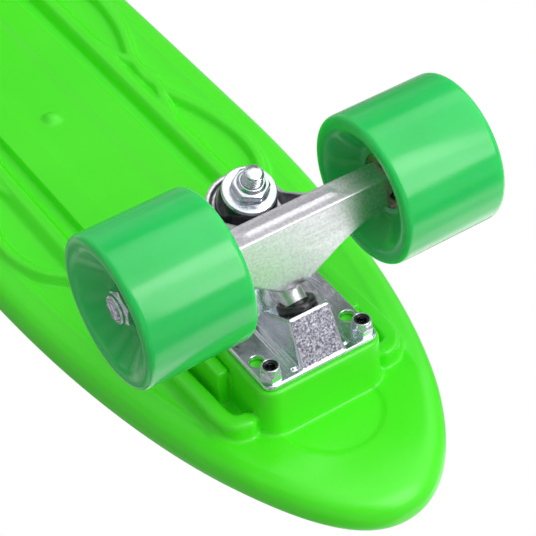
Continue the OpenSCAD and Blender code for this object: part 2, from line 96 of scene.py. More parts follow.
def smooth_max(a, b, k):
    return -smooth_min(-a, -b, k)


def smooth_step(x, start, end):
    u = np.clip((x - start) / (end - start), 0, 1)
    return u * u * (3 - 2 * u)


def round_rect(x, y, half_x, half_y, r):
    qx = np.abs(x) - half_x + r
    qy = np.abs(y) - half_y + r
    outside = np.hypot(np.maximum(qx, 0), np.maximum(qy, 0))
    return outside + np.minimum(np.maximum(qx, qy), 0) - r


def path_distance(x, y, points):
    best = np.inf
    for (x0, y0), (x1, y1) in zip(points, points[1:]):
        dx, dy = x1 - x0, y1 - y0
        u = np.clip(((x - x0) * dx + (y - y0) * dy) / (dx * dx + dy * dy), 0, 1)
        best = np.minimum(best, np.hypot(x - x0 - u * dx, y - y0 - u * dy))
    return best


def curve_through(points, steps=6):
    """A smooth curve through a few points, as a list of points (Catmull-Rom)."""
    p = [np.array(q, float) for q in points]
    p = [2 * p[0] - p[1], *p, 2 * p[-1] - p[-2]]
    out = []
    for a, b, c, d in zip(p, p[1:], p[2:], p[3:]):
        for i in range(steps):
            u = i / steps
            out.append(b + (c - a) * u / 2 + (2 * a - 5 * b + 4 * c - d) * u * u / 2
                       + (3 * b - a - 3 * c + d) * u ** 3 / 2)
    return out + [p[-2]]


def slide_onto(field, points, cell, rounds=3):
    """Moves each point along the field's slope until it lies on the surface."""
    e = 0.05 * cell
    for _ in range(rounds):
        x, y, z = points.T
        value = field(x, y, z)
        slope = np.stack([(field(x + e, y, z) - value) / e, (field(x, y + e, z) - value) / e,
                          (field(x, y, z + e) - value) / e], 1)
        step = (value / np.maximum((slope ** 2).sum(1), 0.05))[:, None] * slope
        length = np.maximum(np.linalg.norm(step, axis=1, keepdims=True), 1e-9)
        points = points - step * np.minimum(1, 0.6 * cell / length)
    return points


def mesh_field(field, low, high, cell):
    """Surface nets: one point in each cell that the surface crosses, joined by quads."""
    axes = [np.arange(a, b + cell, cell) for a, b in zip(low, high)]
    sizes = [len(a) for a in axes]
    f = np.array(np.broadcast_to(field(*np.meshgrid(*axes, indexing="ij", sparse=True)), sizes))
    inside = f < 0
    corners = [np.array([i, j, k]) for i in (0, 1) for j in (0, 1) for k in (0, 1)]
    count = sum(inside[c[0]:sizes[0] - 1 + c[0], c[1]:sizes[1] - 1 + c[1],
                       c[2]:sizes[2] - 1 + c[2]].astype(np.int8) for c in corners)
    crossed = (count > 0) & (count < 8)
    cells = np.argwhere(crossed)
    ids = np.zeros(crossed.shape, np.int32)
    ids[crossed] = np.arange(len(cells))
    total, hits = np.zeros((len(cells), 3)), np.zeros(len(cells))
    for axis in range(3):
        for c in corners:
            if c[axis]:
                continue
            a = cells + c
            b = a.copy()
            b[:, axis] += 1
            fa, fb = f[tuple(a.T)], f[tuple(b.T)]
            hit = (fa < 0) != (fb < 0)
            at = a[hit].astype(float)
            at[:, axis] += fa[hit] / (fa[hit] - fb[hit])
            total[hit] += at
            hits[hit] += 1
    points = np.array([a[0] for a in axes]) + cell * total / hits[:, None]
    points = slide_onto(field, points, cell)
    faces = []
    for axis in range(3):
        u, v = (axis + 1) % 3, (axis + 2) % 3
        near = [slice(1, -1)] * 3
        near[axis] = slice(0, -1)
        far = list(near)
        far[axis] = slice(1, None)
        here = inside[tuple(near)]
        where = np.argwhere(here != inside[tuple(far)])
        solid_first = here[tuple(where.T)]
        where[:, u] += 1
        where[:, v] += 1
        ring = []
        for du, dv in ((-1, -1), (0, -1), (0, 0), (-1, 0)):
            c = where.copy()
            c[:, u] += du
            c[:, v] += dv
            ring.append(ids[tuple(c.T)])
        quads = np.stack(ring, 1)
        quads[~solid_first] = quads[~solid_first][:, ::-1]
        faces.append(quads)
    return points, np.concatenate(faces)


def hand_in(name, points, faces, body, nodes, slot):
    """Makes a smooth shaded piece from points in millimetres; without a body it is left unattached."""
    mesh = bpy.data.meshes.new(name)
    mesh.from_pydata((np.asarray(points) * MM).tolist(), [], [list(map(int, q)) for q in faces])
    mesh.shade_smooth()
    mesh.validate()
    piece = bpy.data.objects.new(name, mesh)
    bpy.context.scene.collection.objects.link(piece)
    mesh.materials.append(bpy.data.materials[slot])
    if body:
        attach(piece, body)
    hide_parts(*nodes)
    return piece


def at_truck(points, end):
    """From a truck's own frame (axle centre, +X towards the board's end) to the board's."""
    return np.asarray(points) * (OUTWARD[end], 1, 1) + (AXLE_X[end], 0, AXLE_Z)


def truck_piece(name, points, faces, end, body, nodes, slot):
    if end == "rear":
        faces = [list(q)[::-1] for q in faces]
    return hand_in(f"{end}_{name}", at_truck(points, end), faces, body,
                   [f"{end}_{n}" for n in nodes], slot)


def turned_to(axis):
    return np.array(Vector(axis).to_track_quat("Z", "Y").to_matrix())


def placed(points, origin, axis):
    """Points drawn round +Z, moved to an origin with +Z along the axis."""
    return np.asarray(points) @ turned_to(axis).T + np.array(origin)


def filleted(profile, steps=5):
    """Rounds the corners of a closed profile of (radius, distance, fillet)."""
    out = []
    n = len(profile)
    for i, (r, z, fillet) in enumerate(profile):
        p = np.array([r, z], float)
        a = np.array(profile[i - 1][:2], float) - p
        b = np.array(profile[(i + 1) % n][:2], float) - p
        if fillet <= 0:
            out.append(p)
            continue
        a_len, b_len = np.linalg.norm(a), np.linalg.norm(b)
        reach = min(fillet, 0.49 * a_len, 0.49 * b_len)
        start, end = p + a / a_len * reach, p + b / b_len * reach
        for k in range(steps + 1):
            u = k / steps
            out.append((1 - u) ** 2 * start + 2 * u * (1 - u) * p + u * u * end)
    return out


def lathe(profile, steps=96):
    """Points and faces of a closed profile of (radius, distance) turned round +Z."""
    prof = np.array(profile)
    turn = np.linspace(0, 2 * math.pi, steps, endpoint=False)
    points = np.stack([np.outer(np.cos(turn), prof[:, 0]), np.outer(np.sin(turn), prof[:, 0]),
                       np.tile(prof[:, 1], (steps, 1))], 2).reshape(-1, 3)
    n = len(prof)
    i, j = np.meshgrid(np.arange(steps), np.arange(n), indexing="ij")
    a, b = i * n + j, ((i + 1) % steps) * n + j
    c, d = ((i + 1) % steps) * n + (j + 1) % n, i * n + (j + 1) % n
    faces = np.stack([a, b, c, d], 2).reshape(-1, 4)
    area = (prof[:, 0] * np.roll(prof[:, 1], -1) - np.roll(prof[:, 0], -1) * prof[:, 1]).sum()
    return points, faces if area > 0 else faces[:, ::-1]


def thread(radius, pitch, start, end, chamfer=0.9, steps=48, per_turn=10):
    """A screw thread round +Z as one closed skin, from start to end, chamfered at the end."""
    depth = 0.61 * pitch
    zs = np.linspace(start, end, int((end - start) / pitch * per_turn) + 2)
    turn = np.linspace(0, 2 * math.pi, steps, endpoint=False)
    z, t = np.meshgrid(zs, turn, indexing="ij")
    phase = np.abs((z / pitch - t / (2 * math.pi)) % 1 - 0.5) * 2
    r = radius - depth * np.clip((phase - 0.12) / 0.76, 0, 1)
    r = np.minimum(r, radius - chamfer + np.maximum(end - z, 0))
    points = np.stack([r * np.cos(t), r * np.sin(t), z], 2).reshape(-1, 3)
    rows = len(zs)
    i, j = np.meshgrid(np.arange(rows - 1), np.arange(steps), indexing="ij")
    k = (j + 1) % steps
    faces = np.stack([i * steps + j, i * steps + k, (i + 1) * steps + k, (i + 1) * steps + j], 2)
    faces = [list(q) for q in faces.reshape(-1, 4)]
    faces.append(list(range(steps))[::-1])
    faces.append([(rows - 1) * steps + j for j in range(steps)])
    return points, faces


def joined(*parts):
    """Several (points, faces) as one."""
    points, faces, base = [], [], 0
    for p, f in parts:
        points.append(np.asarray(p))
        faces += [[int(i) + base for i in q] for q in f]
        base += len(p)
    return np.concatenate(points), faces


# ---------------------------------------------------------------- materials


class Shader:
    """A principled material and short ways to add the nodes it needs."""

    def __init__(self, name, **constants):
        self.material = bpy.data.materials.new(name)
        self.material.use_nodes = True
        self.tree = self.material.node_tree
        self.bsdf = self.tree.nodes["Principled BSDF"]
        for socket, value in constants.items():
            self.bsdf.inputs[socket.replace("_", " ")].default_value = value
        self.place = self.tree.nodes.new("ShaderNodeTexCoord").outputs["Object"]

    def node(self, kind, links=(), **settings):
        made = self.tree.nodes.new(kind)
        for key, value in settings.items():
            setattr(made, key, value)
        for socket, value in dict(links).items():
            if isinstance(value, bpy.types.NodeSocket):
                self.tree.links.new(value, made.inputs[socket])
            else:
                made.inputs[socket].default_value = value
        return made

    def stretched(self, x, y, z):
        return self.node("ShaderNodeMapping", {"Vector": self.place, "Scale": (x, y, z)}).outputs[0]

    def noise(self, scale, detail=3, place=None, distortion=0.0):
        return self.node("ShaderNodeTexNoise", {"Vector": place or self.place, "Scale": scale,
                         "Detail": detail, "Distortion": distortion}).outputs["Fac"]

    def remap(self, value, low, high, start=0.3, end=0.7):
        return self.node("ShaderNodeMapRange", {"Value": value, "From Min": start,
                         "From Max": end, "To Min": low, "To Max": high}).outputs[0]

    def mixed(self, factor, a, b):
        node = self.node("ShaderNodeMix", {"Factor": factor}, data_type="RGBA")
        node.inputs[6].default_value = (*a, 1)
        node.inputs[7].default_value = (*b, 1)
        return node.outputs[2]

    def math(self, operation, a, b=0.0):
        return self.node("ShaderNodeMath", {0: a, 1: b}, operation=operation).outputs[0]

    def bump(self, height, strength, distance, normal=None):
        links = {"Height": height, "Strength": strength, "Distance": distance}
        if normal:
            links["Normal"] = normal
        return self.node("ShaderNodeBump", links).outputs[0]

    def soft_edges(self, radius):
        return self.node("ShaderNodeBevel", {"Radius": radius}, samples=4).outputs[0]

    def into(self, socket, value):
        self.tree.links.new(value, self.bsdf.inputs[socket])


def deck_plastic():
    s = Shader("deck_plastic", IOR=1.49, Subsurface_Weight=0.12, Subsurface_Scale=0.002,
               Subsurface_Radius=(0.5, 1.0, 0.25), Coat_Weight=0.12, Coat_Roughness=0.12)
    cloud = s.noise(14, 2)
    s.into("Base Color", s.mixed(s.remap(cloud, 0, 1), (0.062, 0.840, 0.008), (0.078, 0.880, 0.012)))
    s.into("Roughness", s.remap(s.noise(90, 4), 0.30, 0.40))
    grain = s.noise(2600, 2)
    flow = s.noise(22, 1)
    s.into("Normal", s.bump(grain, 0.10, 0.0001, s.bump(flow, 0.10, 0.0008)))
    return s


def wheel_urethane():
    s = Shader("wheel_urethane", IOR=1.5, Subsurface_Weight=0.85, Subsurface_Scale=0.009,
               Subsurface_Radius=(0.25, 1.0, 0.35), Coat_Weight=0.15, Coat_Roughness=0.12)
    cloud = s.noise(18, 2)
    s.into("Base Color", s.mixed(s.remap(cloud, 0, 1), (0.012, 0.560, 0.105), (0.020, 0.640, 0.135)))
    s.into("Roughness", s.remap(s.noise(120, 4), 0.16, 0.24))
    s.into("Normal", s.bump(s.noise(45, 2), 0.12, 0.0004))
    return s


def cast_aluminium():
    s = Shader("cast_aluminium", Metallic=1.0)
    grain = s.noise(1.0, 4, s.stretched(900, 60, 900))
    speck = s.noise(900, 3)
    s.into("Base Color", s.mixed(s.remap(speck, 0, 1), (0.66, 0.64, 0.69), (0.88, 0.87, 0.91)))
    s.into("Roughness", s.remap(grain, 0.34, 0.50))
    s.into("Normal", s.bump(grain, 0.25, 0.00008, s.bump(speck, 0.12, 0.00012)))
    return s


def plated_steel(name, tint, smooth, rough, cell=140):
    s = Shader(name, Metallic=1.0)
    cloud = s.noise(cell, 3)
    scratch = s.noise(1.0, 3, s.stretched(300, 1600, 500), 0.4)
    dark = tuple(0.88 * c for c in tint)
    s.into("Base Color", s.mixed(s.remap(cloud, 0, 1), dark, tint))
    s.into("Roughness", s.remap(scratch, smooth, rough))
    waves = s.bump(s.noise(75, 2), 0.5, 0.0010, s.soft_edges(0.00025))
    s.into("Normal", s.bump(scratch, 0.04, 0.00005, waves))
    return s


def cast_plate():
    """The rough skin of the casting, on the front of the plated tower."""
    s = Shader("rough_plate", Metallic=1.0)
    cells = s.node("ShaderNodeTexVoronoi", {"Vector": s.place, "Scale": 1400.0}).outputs["Distance"]
    lumps = s.noise(1100, 6, distortion=0.6)
    pits = s.math("MULTIPLY", cells, lumps)
    s.into("Base Color", s.mixed(s.remap(lumps, 0, 1, 0.40, 0.64), (0.20, 0.19, 0.26),
                                 (0.80, 0.80, 0.88)))
    s.into("Roughness", s.remap(s.noise(400, 3), 0.22, 0.45))
    s.into("Normal", s.bump(pits, 0.45, 0.0003))
    return s


def black_rubber(name, low, high, base):
    s = Shader(name, IOR=1.5, Coat_Weight=0.25, Coat_Roughness=0.12)
    cloud = s.noise(260, 3)
    s.into("Base Color", s.mixed(s.remap(cloud, 0, 1), base, tuple(1.8 * c for c in base)))
    s.into("Roughness", s.remap(s.noise(500, 3), low, high))
    s.into("Normal", s.bump(s.noise(1800, 2), 0.12, 0.00008))
    return s


def cage_nylon():
    s = Shader("cage_nylon", IOR=1.52, Subsurface_Weight=0.1, Subsurface_Scale=0.001)
    s.into("Base Color", s.mixed(s.remap(s.noise(400, 2), 0, 1), (0.35, 0.24, 0.09),
                                 (0.50, 0.36, 0.16)))
    s.into("Roughness", s.remap(s.noise(900, 2), 0.35, 0.5))
    return s


def make_materials():
    for obj in frame["nodes"].values():
        obj.data.materials.clear()
    for plain in list(bpy.data.materials):
        bpy.data.materials.remove(plain)
    deck_plastic()
    wheel_urethane()
    cast_aluminium()
    plated_steel("zinc_plate", (0.74, 0.78, 0.84), 0.14, 0.30)
    plated_steel("bearing_steel", (0.30, 0.22, 0.15), 0.22, 0.34)
    cast_plate()
    black_rubber("black_rubber", 0.22, 0.36, (0.010, 0.010, 0.012))
    black_rubber("black_urethane", 0.18, 0.30, (0.008, 0.008, 0.014))
    black_rubber("black_nylon", 0.20, 0.30, (0.004, 0.004, 0.005))
    cage_nylon()


def dress_cad_nodes():
    """Gives each CAD node that stays in sight the material of its slot."""
    slots = {s["node"]: s["material_slot"] for s in frame["record"]["subparts"]}
    for name, obj in frame["nodes"].items():
        obj.data.materials.append(bpy.data.materials[slots[name]])


# ---------------------------------------------------------------- deck

NOSE_HALF_L = 221
WIDE_X = NOSE_X - NOSE_HALF_L
TAIL_HALF_L = 2 * NOSE_X - NOSE_HALF_L
NOSE_POWER = (2, 2.1)
TAIL_POWER = (4.2, 3.4)
KICK_RISE, KICK_L = 24, 80
NOSE_RISE, NOSE_RISE_L = 5, 48
BLOCK_CENTRE_X, BLOCK_HALF_X, BLOCK_HALF_Y, BLOCK_R = -16.05, 38.4, 27, 6.5
BOLT_XS, BOLT_Y = (15.7, -47.8), 20.65


def edge_inset(x, y):
    """How far a place is inside the deck's outline, which is two superellipse halves."""
    nose = x > WIDE_X
    length = np.where(nose, NOSE_HALF_L, TAIL_HALF_L)
    p = np.where(nose, NOSE_POWER[0], TAIL_POWER[0])
    q = np.where(nose, NOSE_POWER[1], TAIL_POWER[1])
    u = np.maximum(np.abs(x - WIDE_X) / length, 1e-3)
    v = np.maximum(np.abs(y) / DECK_HALF_W, 1e-3)
    g = u ** p + v ** q
    h = g ** (1 / q)
    slope = h / (g * q)
    return (1 - h) / np.hypot(slope * p * u ** (p - 1) / length,
                              slope * q * v ** (q - 1) / DECK_HALF_W)


def lift(x):
    tail = np.maximum(-NOSE_X + KICK_L - x, 0) / KICK_L
    nose = np.maximum(x - NOSE_X + NOSE_RISE_L, 0) / NOSE_RISE_L
    return KICK_RISE * tail ** 2 + NOSE_RISE * nose ** 2


POCKET_RIB = curve_through([(-10, 46), (14, 49), (36, 56), (58, 59.5), (74, 58.5), (86, 54),
                            (95, 46), (104, 40)])
SPLIT_RIB = curve_through([(-10, 52), (6, 49), (22, 44.5), (36, 41)])
HOOK = curve_through([(-34, 39), (-5, 39), (8, 38.5), (13, 36), (14.5, 31.5)])


def underside_relief(x, y):
    """How far the underside stands below the skin: ribs, grooves, pockets and the boss."""
    ay = np.abs(y)
    ahead = np.abs(x - MID_X)
    xt = ahead - HALF_BASE
    inset = edge_inset(x, y)
    near_truck = smooth_step(xt, -112, -80)
    belt = 3.5 + 1.0 * smooth_step(ay, 10, 16)
    belt = belt * (1 - smooth_step(xt, 8, 24))
    groove = -3.0 + 8.6 * smooth_step(ay, 31.0 + 2.5 * near_truck, 37.5 - 0.5 * near_truck)
    ridge = groove - 5.2 * smooth_step(ay, 40.0, 46.5)
    end_of_groove = smooth_step(xt, 7, 15)
    ridge = ridge * (1 - end_of_groove)
    relief = belt + (ridge - belt) * smooth_step(ay, 27.2, 28.6)
    pocket_rib = 4.6 * (1 - smooth_step(path_distance(ahead, ay, POCKET_RIB), 1.0, 4.8))
    split_rib = 4.4 * (1 - smooth_step(path_distance(ahead, ay, SPLIT_RIB), 1.0, 4.2))
    bead = 1.7 * np.exp(-((inset - 11.5) / 2.2) ** 2) * (1 - smooth_step(xt, 30, 55))
    outer = smooth_max(smooth_max(pocket_rib, split_rib, 1.5), bead, 1.5)
    outer = outer * smooth_step(ay, 38, 43)
    relief = smooth_max(relief, outer, 1.5)
    dish = 0.9 * (1 - smooth_step(np.hypot(xt - 23, y), 19.5, 22.5)) * smooth_step(xt, 18, 22)
    boss = 2.4 * (1 - smooth_step(np.hypot(x - MID_X - 2, y - 2.5), 1.0, 5.5))
    return relief - dish + boss


def grip_relief(x, y):
    """The waffle pattern that the rider stands on, left out round the bolt heads."""
    pitch, half_w, height = 9.0, 1.1, 0.8
    xt = np.abs(x - MID_X) - HALF_BASE
    lines = []
    for value in (x - MID_X, y):
        off = np.abs((value / pitch + 0.5) % 1 - 0.5) * pitch
        lines.append(1 - smooth_step(off, half_w - 0.5, half_w + 0.7))
    pad = round_rect(xt - BLOCK_CENTRE_X, y, 38, 27, 6)
    return height * smooth_max(*lines, 0.2) * smooth_step(pad, 0, 1.5) * smooth_step(
        edge_inset(x, y), 13, 15)


def deck_field(x, y, z):
    ay = np.abs(y)
    xt = np.abs(x - MID_X) - HALF_BASE
    inset = edge_inset(x, y)
    level = z - lift(x)
    rim_curl = 4.5 * (1 - np.clip(inset / 10, 0, 1)) ** 2.5
    under = SKIN_Z - underside_relief(x, y) + rim_curl
    rim = RIM_RISE * (1 - smooth_step(inset, 5.0, 11.5))
    over = TOP_Z + rim + grip_relief(x, y)
    body = smooth_max(smooth_max(0.85 * (under - level), 0.9 * (level - over), 1.0), -inset, 3.0)
    ceiling = level - TOP_Z + 2
    draft = 0.03 * (z - MOUNT_Z)
    block = round_rect(xt - BLOCK_CENTRE_X, y, BLOCK_HALF_X, BLOCK_HALF_Y, BLOCK_R) - draft
    block = smooth_max(smooth_max(block, MOUNT_Z - z, 1.6), ceiling, 0.5)
    body = smooth_min(body, block, 1.0)
    stiff_low = SKIN_Z - 17 + 17 * smooth_step(-xt, 62, 96)
    stiff = round_rect(xt + 49.2, ay - 30.6, 46, 2.3, 0.4) - 0.3 * draft
    stiff = smooth_max(smooth_max(stiff, stiff_low - z, 0.5), ceiling, 0.5)
    body = smooth_min(body, stiff, 0.8)
    hook = path_distance(xt, ay, HOOK) - 3.7
    hook = smooth_max(smooth_max(hook, SKIN_Z - 8.5 + 3 * smooth_step(-xt, 0, 40) - z, 2.5),
                      ceiling, 0.5)
    body = smooth_min(body, hook, 1.5)
    for bolt_x in BOLT_XS:
        head = np.hypot(xt - bolt_x, ay - BOLT_Y) - 5.0
        body = smooth_max(body, -smooth_max(head, TOP_Z - 3.0 - level, 0.3), 0.5)
    return body


def make_deck():
    cell = 1.1
    points, faces = mesh_field(deck_field, DECK_LOW - 2.5 * cell, DECK_HIGH + 2.5 * cell, cell)
    hand_in("deck_moulding", points, faces, "board", ["deck"], "deck_plastic")


# ---------------------------------------------------------------- trucks

KINGPIN_TILT = math.radians(19)
KINGPIN_FOOT = np.array([-43.9, 0, MOUNT_Z - AXLE_Z - 2.5])
TO_ROAD = np.array([math.sin(KINGPIN_TILT), 0, -math.cos(KINGPIN_TILT)])
FACE_H = KINGPIN_FOOT[2]
PIVOT = np.array([3.5, 0, FACE_H - 15])
BOARD_WASHER_S, RING_BACK_S, RING_FLOOR_S, ROAD_WASHER_S = 22.3, 38.4, 42.4, 53.4
NUT_S, KINGPIN_L = 55.5, 67.2
WASHER_T = 2.1
RING_R = 15.4
CUP_R, CUP_DEPTH = 5.9, 5.4
TOWER_CORNERS = [(20.2, FACE_H), (11.2, 34.0), (-7.0, 43.8), (-13.0, FACE_H)]
TOWER_TOP_DOWN = (0.474, 0, 0.880)
STEER = {end: np.array(joints[f"{end}_steer"]["axis"]) * (OUTWARD[end], 1, 1) for end in ENDS}


def kingpin_places(x, y, z):
    """Distance along the kingpin towards the road, and from its axis."""
    dx, dz = x - KINGPIN_FOOT[0], z - KINGPIN_FOOT[2]
    along = dx * TO_ROAD[0] + dz * TO_ROAD[2]
    across = -dx * TO_ROAD[2] + dz * TO_ROAD[0]
    return along, np.hypot(across, y)


def on_kingpin(points, s):
    return placed(points, KINGPIN_FOOT + TO_ROAD * s, TO_ROAD)


def steering_places(x, y, z):
    ax, az = STEER["front"][0], STEER["front"][2]
    dx, dz = x - PIVOT[0], z - PIVOT[2]
    along = dx * ax + dz * az
    return along, np.hypot(-dx * az + dz * ax, y)


BAR_HALF_L, BAR_ROAD_Z = 41.3, -6
CROWN_HALF_W, CROWN_LOW_Z, CROWN_SLOPE = 25, 12, 16 / 19


def hanger_field(x, y, z):
    ay = np.abs(y)
    s, from_kingpin = kingpin_places(x, y, z)
    # the bar, with its deep middle
    end_top = 8 + 0.22 * (BAR_HALF_L - ay)
    front = x - (6.6 - 0.10 * (z - BAR_ROAD_Z))
    bar = smooth_max(smooth_max(ay - BAR_HALF_L, -4.5 - x, 0.8), front, 0.6)
    low = smooth_max(BAR_ROAD_Z - z, z - end_top, 0.6)
    crown_sides = (z - CROWN_LOW_Z - (CROWN_HALF_W - ay) * CROWN_SLOPE) / math.hypot(1, CROWN_SLOPE)
    crown = smooth_max(crown_sides, z - 29, 3)
    crown = smooth_max(crown, BAR_ROAD_Z - z, 0.6)
    bar = smooth_max(bar, smooth_min(low, crown, 6), 0.6)
    # the ring and the webs that carry it
    ring = smooth_max(from_kingpin - RING_R, np.abs(s - (RING_BACK_S + 44.4) / 2) - 3.0, 0.9)
    web_w = ay - (15.2 + 0.11 * (x + 29.4))
    web_low = (11 - (x + 29.4) * 15 / 24.9 - z) / 1.167
    web_high = (z - 21.7 - (x + 16.8) * 0.3) / 1.044
    web = smooth_max(smooth_max(web_w, web_low, 2.0), smooth_max(web_high, x - 1, 0.5), 2.0)
    web = smooth_max(web, -30.5 - x, 0.5)
    web = smooth_max(web, crown_sides - 0.3 / math.hypot(1, CROWN_SLOPE), 1.5)
    shell = smooth_min(ring, web, 3.0)
    pocket_w = ay - (13.2 + 0.06 * (x + 29.4))
    pocket_web = smooth_max(smooth_max(pocket_w, x + 6.0, 4.0), -30.5 - x, 0.5)
    pocket = smooth_min(from_kingpin - 13.4, pocket_web, 1.5)
    pocket = smooth_max(pocket, RING_FLOOR_S - s, 1.0)
    shell = smooth_max(shell, -pocket, 0.8)
    solid = smooth_min(bar, shell, 2.5)
    # the stalk and the pivot's nose
    along, off = steering_places(x, y, z)
    stalk = smooth_max(off - (5.0 + 0.30 * np.maximum(-9 - along, 0)), np.abs(along + 17) - 17, 1.0)
    nose = np.sqrt(along ** 2 + off ** 2) - 5.0
    scoop = np.sqrt(((x - 8.5) / 6.5) ** 2 + (y / 10) ** 2 + ((z - 31) / 8) ** 2) * 6.5 - 6.5
    solid = smooth_max(solid, -scoop, 1.2)
    solid = smooth_min(solid, smooth_min(stalk, nose, 0.8), 3.0)
    hole = smooth_max(from_kingpin - 8.0, np.abs(s - 40) - 9, 0.3)
    solid = smooth_max(solid, -hole, 0.6)
    return smooth_max(solid, 4.05 - np.hypot(x, z), 0.3)


def baseplate_field(x, y, z):
    ay = np.abs(y)
    plate = round_rect(x + 16.05, y, 36.95, 25.5, 4.0)
    plate = smooth_max(plate, np.abs(z - FACE_H - 1.25) - 1.25, 0.7)
    foot = smooth_max(smooth_max(ay - 12.5 + 0.5 * (z - FACE_H), np.abs(x + 16.05) - 34, 1.5),
                      np.abs(z - FACE_H) - 0.9, 0.5)
    solid = smooth_min(plate, foot, 0.8)
    # the tower: front, top and back faces, each through two corners of its outline
    tower = ay - 9.2 - 0.045 * (z - 34)
    for (x0, z0), (x1, z1) in zip(TOWER_CORNERS, TOWER_CORNERS[1:]):
        dx, dz = x1 - x0, z1 - z0
        tower = smooth_max(tower, ((x - x0) * -dz + (z - z0) * dx) / math.hypot(dx, dz), 1.1)
    tower = smooth_max(tower, z - FACE_H - 1, 0.5)
    solid = smooth_min(solid, tower, 0.7)
    s, from_kingpin = kingpin_places(x, y, z)
    seat = smooth_max(from_kingpin - 10.6 - 0.16 * (BOARD_WASHER_S - s), s - BOARD_WASHER_S, 1.0)
    seat = smooth_max(seat, z - FACE_H - 1, 0.5)
    solid = smooth_min(solid, seat, 3.0)
    along, off = steering_places(x, y, z)
    solid = smooth_max(solid, -smooth_max(off - CUP_R, along - CUP_DEPTH, 0.3), 0.5)
    solid = smooth_max(solid, 4.1 - from_kingpin, 0.4)
    for hole_x, r in ((5.9, 2.9), (BOLT_XS[0], 2.7), (BOLT_XS[1], 2.7)):
        solid = smooth_max(solid, r - np.hypot(x - hole_x, ay - BOLT_Y), 0.5)
    return solid


def hexagon(x, y, across_flats, r=0.3):
    best = np.abs(x)
    for turn in (60, 120):
        a = math.radians(turn)
        best = smooth_max(best, np.abs(x * math.cos(a) + y * math.sin(a)), r)
    return best - across_flats / 2


def lock_nut(across_flats, hex_h, collar_r, collar_h, bore_r, flange_r=0.0, flange_t=0.0, cell=0.3):
    """A hexagon nut round +Z with chamfered corners, a collar on top and a plain bore."""
    corner = across_flats / 2 / math.cos(math.radians(30))

    def field(x, y, z):
        r = np.hypot(x, y)
        body = smooth_max(hexagon(x, y, across_flats), np.abs(z - hex_h / 2) - hex_h / 2, 0.3)
        body = smooth_max(body, (r - corner + 0.2 + (z - hex_h) * 1.7 + 0.9) * 0.5, 0.3)
        collar = smooth_max(r - collar_r, np.abs(z - hex_h / 2 - collar_h / 2)
                            - (hex_h + collar_h) / 2, 0.9)
        body = smooth_min(body, collar, 0.7)
        if flange_r:
            flange = smooth_max(r - flange_r, np.abs(z - flange_t / 2) - flange_t / 2, 0.5)
            body = smooth_min(body, flange, 1.2)
        return smooth_max(body, bore_r - r, 0.3)

    reach = max(corner, flange_r) + 2 * cell
    return mesh_field(field, (-reach, -reach, -2 * cell), (reach, reach, hex_h + collar_h + 2 * cell),
                      cell)


def washer(inner_r, outer_r, thick, fillet=0.35):
    return lathe(filleted([(inner_r, 0, fillet), (outer_r, 0, fillet), (outer_r, thick, fillet),
                           (inner_r, thick, fillet)]))


def make_fixed_truck(end):
    points, faces = mesh_field(baseplate_field, (-56, -28, 31), (24, 28, 58), 0.6)
    plate = truck_piece("baseplate_casting", points, faces, end, "board", ["baseplate"],
                        "zinc_plate")
    roughen_tower(plate, end)
    make_pivot_cup(end)
    make_kingpin(end)
    make_bushings(end)
    make_deck_bolts(end)


def make_pivot_cup(end):
    cup = lathe(filleted([(5.2, -1.2, 0.3), (CUP_R, -1.2, 0.3), (CUP_R, CUP_DEPTH, 0.3),
                          (0.2, CUP_DEPTH, 0), (0.2, 5.05, 0), (3.6, 3.65, 0.5), (5.1, 0, 0.4)]))
    flange = lathe(filleted([(5.1, -2.6, 1.0), (7.6, -2.6, 1.1), (7.9, -0.6, 0.8), (7.2, 0.3, 0.4),
                             (5.1, 0.3, 0.3)]))
    points, faces = joined((placed(cup[0], PIVOT, STEER["front"]), cup[1]),
                           (placed(flange[0], PIVOT, TOWER_TOP_DOWN), flange[1]))
    truck_piece("pivot_cup_rubber", points, faces, end, "board", ["pivot_cup"], "black_rubber")


def make_kingpin(end):
    thread_s = KINGPIN_L - 16
    shank = lathe([(0.1, 12), (3.9, 12), (3.9, thread_s), (0.1, thread_s)], 48)
    points, faces = joined(shank, thread(4.0, 1.25, thread_s, KINGPIN_L))
    truck_piece("kingpin_bolt", on_kingpin(points, 0), faces, end, "board", ["kingpin"],
                "zinc_plate")
    points, faces = lock_nut(13, 4.6, 5.2, 1.9, 4.0, flange_r=7.2, flange_t=1.0)
    truck_piece("kingpin_lock_nut", on_kingpin(points, NUT_S), faces, end, "board",
                ["kingpin_nut"], "zinc_plate")
    for name, s in (("road", ROAD_WASHER_S), ("board", BOARD_WASHER_S)):
        points, faces = washer(4.2, 10.6, WASHER_T, 0.7)
        truck_piece(f"{name}_washer_disc", on_kingpin(points, s), faces, end, "board",
                    [f"{name}_cup_washer"], "zinc_plate")


def make_deck_bolts(end):
    nut = lock_nut(8, 4.0, 3.7, 2.4, 2.95, cell=0.25)
    insert = lathe(filleted([(1.9, 3.2, 0), (1.9, 5.8, 0.8), (3.15, 5.8, 0.5), (2.93, 4.4, 0),
                             (2.93, 3.2, 0)]), 48)
    stud = thread(2.5, 0.8, -22, 3.1, 0.5, 32, 8)
    nuts, inserts, studs = [], [], []
    for bolt_x in BOLT_XS:
        for side in (-1, 1):
            at = (bolt_x, side * BOLT_Y, FACE_H)
            nuts.append((placed(nut[0], at, (0, 0, -1)), nut[1]))
            inserts.append((placed(insert[0], at, (0, 0, -1)), insert[1]))
            studs.append((placed(stud[0], at, (0, 0, -1)), stud[1]))
    truck_piece("deck_lock_nuts", *joined(*nuts), end, "board", ["deck_nuts"], "zinc_plate")
    truck_piece("nylon_inserts", *joined(*inserts), end, "board", ["nut_inserts"], "black_nylon")
    truck_piece("deck_bolt_studs", *joined(*studs, *bolt_heads()), end, "board", ["deck_bolts"],
                "zinc_plate")


